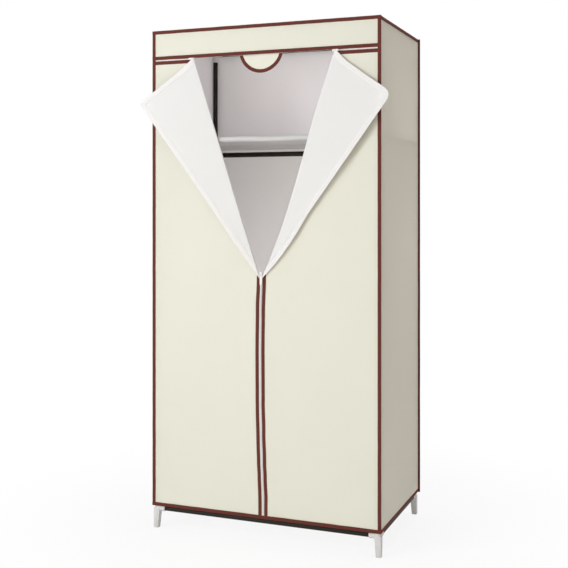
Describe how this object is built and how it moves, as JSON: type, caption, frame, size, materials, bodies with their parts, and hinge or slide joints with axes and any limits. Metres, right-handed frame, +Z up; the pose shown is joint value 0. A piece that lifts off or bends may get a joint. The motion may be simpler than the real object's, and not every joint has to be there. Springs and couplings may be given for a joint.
{
  "type": "portable fabric wardrobe",
  "caption": "Zipped fabric wardrobe on a tube frame with moulded corners, a hanging rod and a shelf; its door corners fold back.",
  "frame": {"origin": "on the floor under the middle of the whole box, folded-back door corners included", "axes": "+X to the wardrobe's right as seen from the front, +Y to its back (the doors face -Y), +Z up"},
  "size_m": [0.8062, 0.4704, 1.57],
  "materials": {
    "cover_fabric": "matte",
    "lining_fabric": "matte",
    "shelf_fabric": "matte",
    "seam_binding": "matte",
    "zip_tape": "matte",
    "black_tube": "gloss",
    "white_moulding": "satin",
    "zip_plastic": "satin"
  },
  "bodies": {
    "root": {"foot_front_left": "white_moulding", "foot_front_right": "white_moulding", "foot_back_left": "white_moulding", "foot_back_right": "white_moulding", "shelf_joint_front_left": "white_moulding", "shelf_joint_front_right": "white_moulding", "shelf_joint_back_left": "white_moulding", "shelf_joint_back_right": "white_moulding", "top_corner_front_left": "white_moulding", "top_corner_front_right": "white_moulding", "top_corner_back_left": "white_moulding", "top_corner_back_right": "white_moulding", "rod_holder_left": "white_moulding", "rod_holder_right": "white_moulding", "lower_upright_front_left": "black_tube", "lower_upright_front_right": "black_tube", "lower_upright_back_left": "black_tube", "lower_upright_back_right": "black_tube", "upper_upright_front_left": "black_tube", "upper_upright_front_right": "black_tube", "upper_upright_back_left": "black_tube", "upper_upright_back_right": "black_tube", "bottom_rail_front": "black_tube", "bottom_rail_back": "black_tube", "bottom_rail_left": "black_tube", "bottom_rail_right": "black_tube", "shelf_rail_front": "black_tube", "shelf_rail_back": "black_tube", "shelf_rail_left": "black_tube", "shelf_rail_right": "black_tube", "top_rail_front": "black_tube", "top_rail_back": "black_tube", "top_rail_left": "black_tube", "top_rail_right": "black_tube", "hanging_rod": "black_tube", "shelf_cloth": "shelf_fabric", "cover_top": "cover_fabric", "cover_back": "cover_fabric", "cover_left": "cover_fabric", "cover_right": "cover_fabric", "header": "cover_fabric", "door_left": "cover_fabric", "door_right": "cover_fabric", "edge_binding": "seam_binding", "zip_chain": "zip_tape", "top_zip": "zip_tape"},
    "flap_left": {"flap_left": "lining_fabric", "flap_binding_left": "seam_binding", "flap_zip_left": "zip_tape"},
    "flap_right": {"flap_right": "lining_fabric", "flap_binding_right": "seam_binding", "flap_zip_right": "zip_tape"},
    "tab": {"tab": "cover_fabric", "tab_binding": "seam_binding"},
    "zip_slider": {"zip_slider": "zip_plastic"},
    "zip_pull": {"zip_pull": "zip_plastic"},
    "top_slider_left": {"top_slider_left": "zip_plastic"},
    "top_pull_left": {"top_pull_left": "zip_plastic"},
    "top_slider_right": {"top_slider_right": "zip_plastic"},
    "top_pull_right": {"top_pull_right": "zip_plastic"}
  },
  "joints": [
    {"name": "flap_left_fold", "type": "hinge", "parent": "root", "child": "flap_left", "pos_m": [-0.226, -0.2141, 1.4745], "axis": [-0.3148, 0, 0.9491], "range_deg": [0, 175.2]},
    {"name": "flap_right_fold", "type": "hinge", "parent": "root", "child": "flap_right", "pos_m": [0.226, -0.2141, 1.4745], "axis": [-0.3148, 0, -0.9491], "range_deg": [0, 175.2]},
    {"name": "zip_slider_travel", "type": "slide", "parent": "root", "child": "zip_slider", "axis": [0, 0, 1], "range_m": [0, 0.65]},
    {"name": "zip_pull_swing", "type": "hinge", "parent": "zip_slider", "child": "zip_pull", "pos_m": [0, -0.2168, 0.81504], "axis": [-1, 0, 0], "range_deg": [0, 170]},
    {"name": "top_slider_left_travel", "type": "slide", "parent": "root", "child": "top_slider_left", "axis": [1, 0, 0], "range_m": [0, 0.2]},
    {"name": "top_pull_left_swing", "type": "hinge", "parent": "top_slider_left", "child": "top_pull_left", "pos_m": [-0.22994, -0.2168, 1.4775], "axis": [0, 0, 1], "range_deg": [0, 170]},
    {"name": "top_slider_right_travel", "type": "slide", "parent": "root", "child": "top_slider_right", "axis": [-1, 0, 0], "range_m": [0, 0.2]},
    {"name": "top_pull_right_swing", "type": "hinge", "parent": "top_slider_right", "child": "top_pull_right", "pos_m": [0.22994, -0.2168, 1.4775], "axis": [0, 0, -1], "range_deg": [0, 170]},
    {"name": "tab_swing", "type": "hinge", "parent": "root", "child": "tab", "pos_m": [0, -0.21, 1.4965], "axis": [1, 0, 0], "range_deg": [0, 85]}
  ],
  "couplings": [
    {"joint": "flap_right_fold", "follows": "flap_left_fold", "ratio": 1},
    {"joint": "zip_slider_travel", "follows": "flap_left_fold", "m_per_rad": 0.21257},
    {"joint": "top_slider_left_travel", "follows": "flap_left_fold", "m_per_rad": 0.065406},
    {"joint": "top_slider_right_travel", "follows": "flap_left_fold", "m_per_rad": 0.065406}
  ]
}
